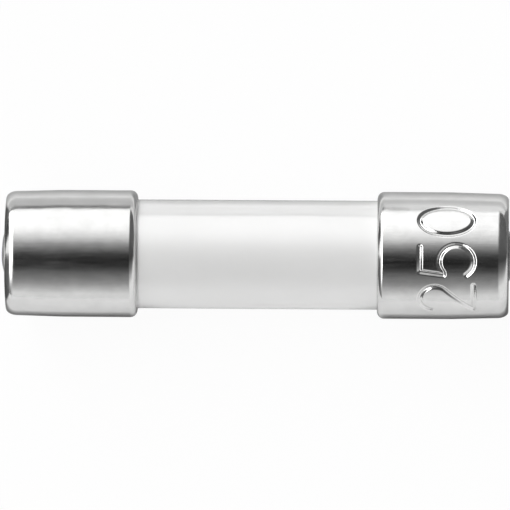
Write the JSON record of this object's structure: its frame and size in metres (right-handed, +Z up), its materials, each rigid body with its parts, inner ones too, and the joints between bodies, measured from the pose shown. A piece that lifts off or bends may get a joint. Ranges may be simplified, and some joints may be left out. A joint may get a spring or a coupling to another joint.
{
  "type": "cartridge fuse",
  "caption": "Small cartridge fuse: white ceramic tube, nickel plated end caps with solder beads, and a fuse wire wound on a yarn core in quartz sand.",
  "frame": {"origin": "middle of the fuse, on its axis", "axes": "+X along the fuse towards the right end cap, +Z up as it lies on a table"},
  "size_m": [0.0206, 0.005, 0.005],
  "materials": {
    "ceramic": "white, smooth fired glaze",
    "nickel_plate": "drawn brass, bright nickel plated",
    "solder": "grey tin solder, smooth",
    "washer_board": "punched pressboard, matte",
    "quartz_sand": "fine grains, dry",
    "core_yarn": "twisted glass yarn",
    "fuse_wire": "tinned copper wire"
  },
  "bodies": {
    "root": {"ceramic_tube": "ceramic", "left_end_cap": "nickel_plate", "right_end_cap": "nickel_plate", "left_solder": "solder", "right_solder": "solder", "left_sand_washer": "washer_board", "right_sand_washer": "washer_board", "quartz_sand": "quartz_sand", "core_yarn": "core_yarn", "fuse_wire": "fuse_wire"}
  },
  "joints": []
}
